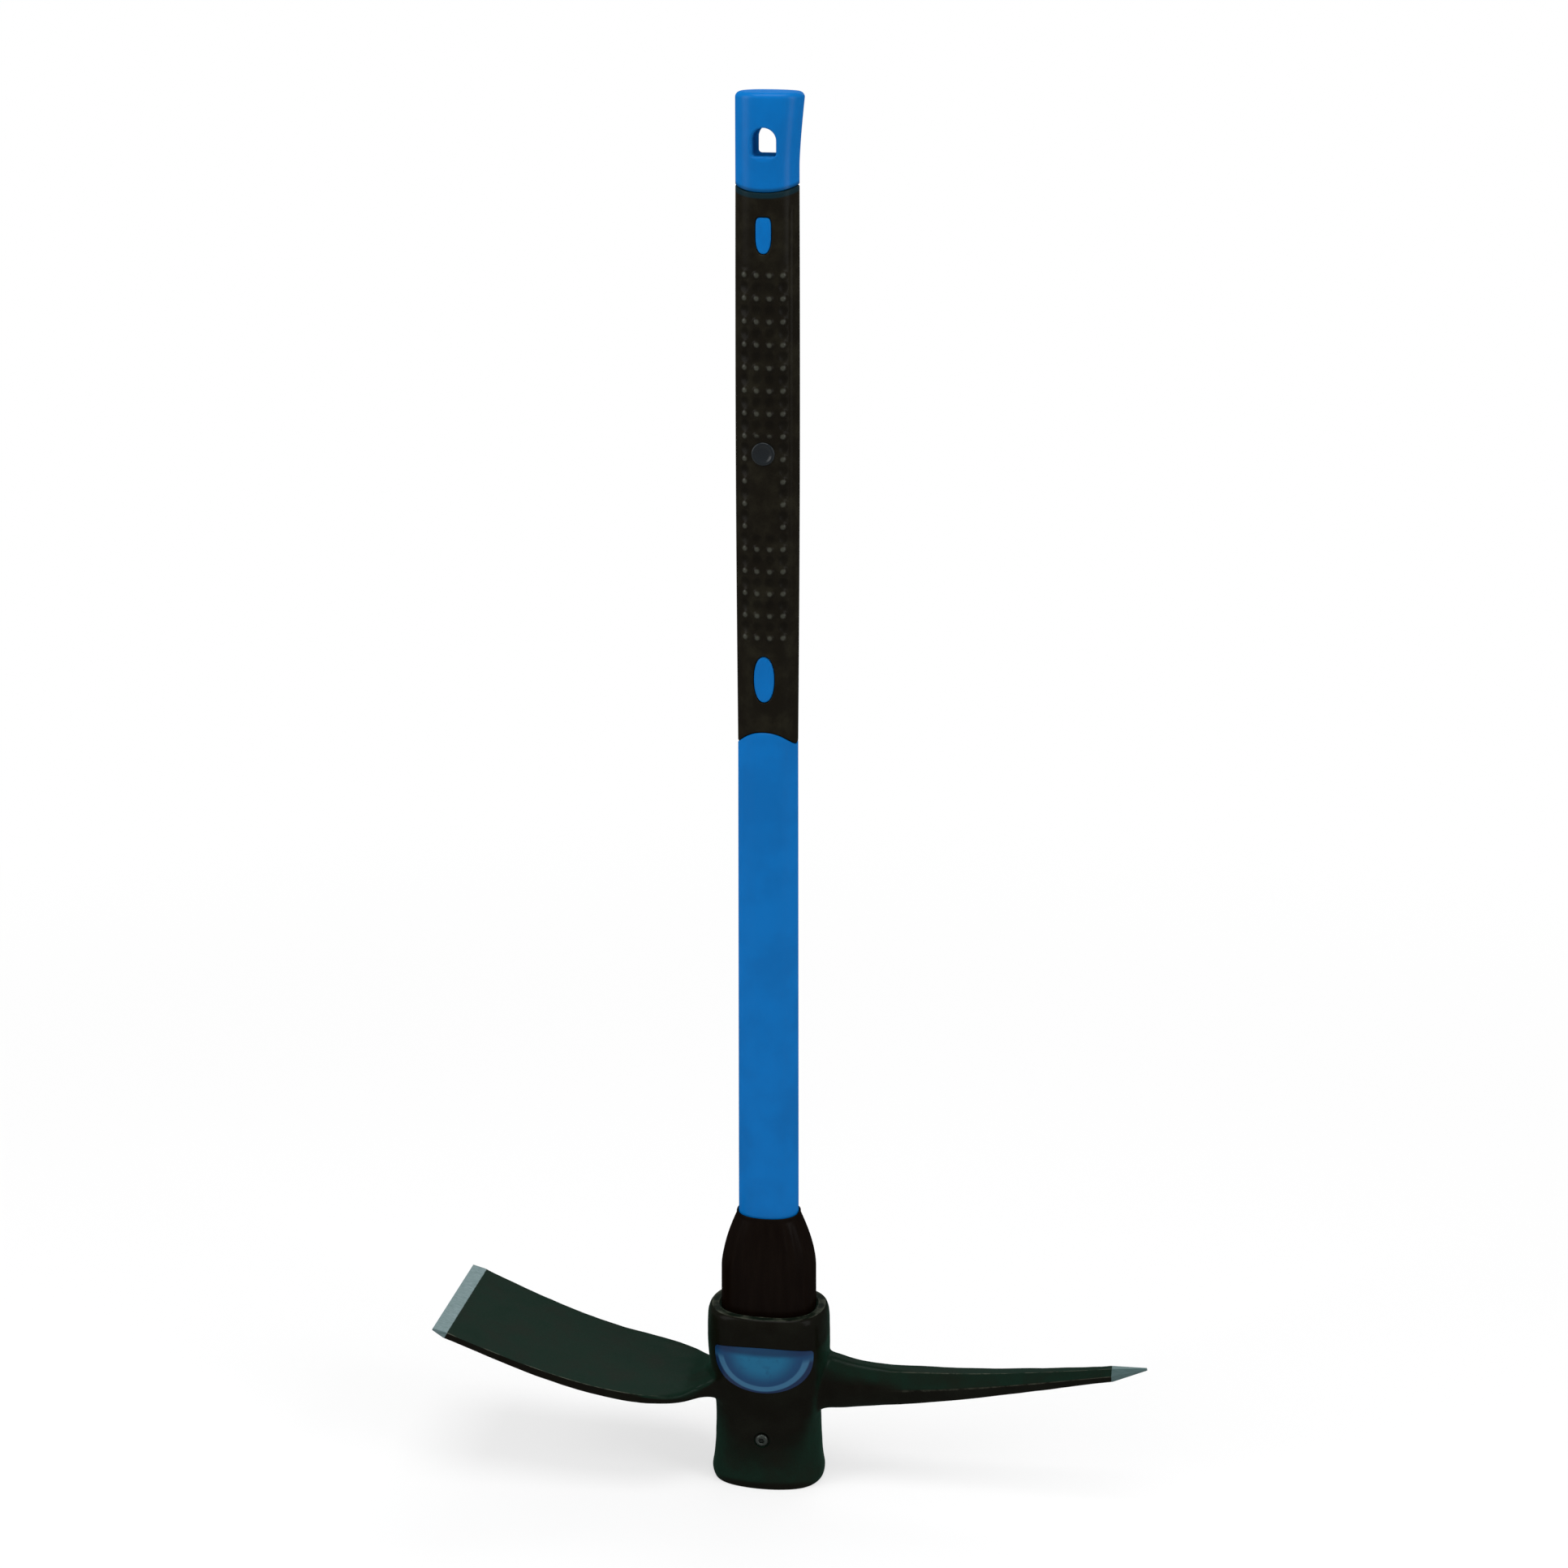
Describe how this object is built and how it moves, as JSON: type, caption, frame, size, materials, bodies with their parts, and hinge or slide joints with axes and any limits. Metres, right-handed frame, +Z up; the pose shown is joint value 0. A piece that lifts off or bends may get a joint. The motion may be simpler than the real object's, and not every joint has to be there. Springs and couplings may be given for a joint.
{
  "type": "pick mattock",
  "caption": "Pick mattock: forged head with a pick point and a broad adze blade on an oval fibreglass handle with a rubber grip and a hang hole.",
  "frame": {"origin": "middle of the handle's head end, which is also on the plane that the tool stands on", "axes": "+Z up along the handle to the butt, +X toward the pick point, -X toward the adze blade, +Y to the back, away from the label and the screw"},
  "size_m": [0.4689, 0.104, 0.9144],
  "materials": {
    "fibreglass": "cut fibreglass rod",
    "blue_plastic": "moulded, semi-gloss",
    "black_rubber": "matte, moulded with pips",
    "black_plastic": "moulded, satin",
    "painted_steel": "forged steel, dark enamel, edge and point ground bare",
    "zinc_steel": "zinc plated",
    "blue_vinyl": "blank printed vinyl"
  },
  "bodies": {
    "handle": {"fibreglass_core": "fibreglass", "handle_jacket": "blue_plastic", "rubber_grip": "black_rubber", "eye_bulb": "black_plastic"},
    "head": {"pick_head": "painted_steel", "lock_screw": "zinc_steel", "eye_label": "blue_vinyl"}
  },
  "joints": [
    {"name": "head_slide", "type": "slide", "parent": "handle", "child": "head", "axis": [0, 0, 1], "range_m": [0, 0.93]}
  ]
}
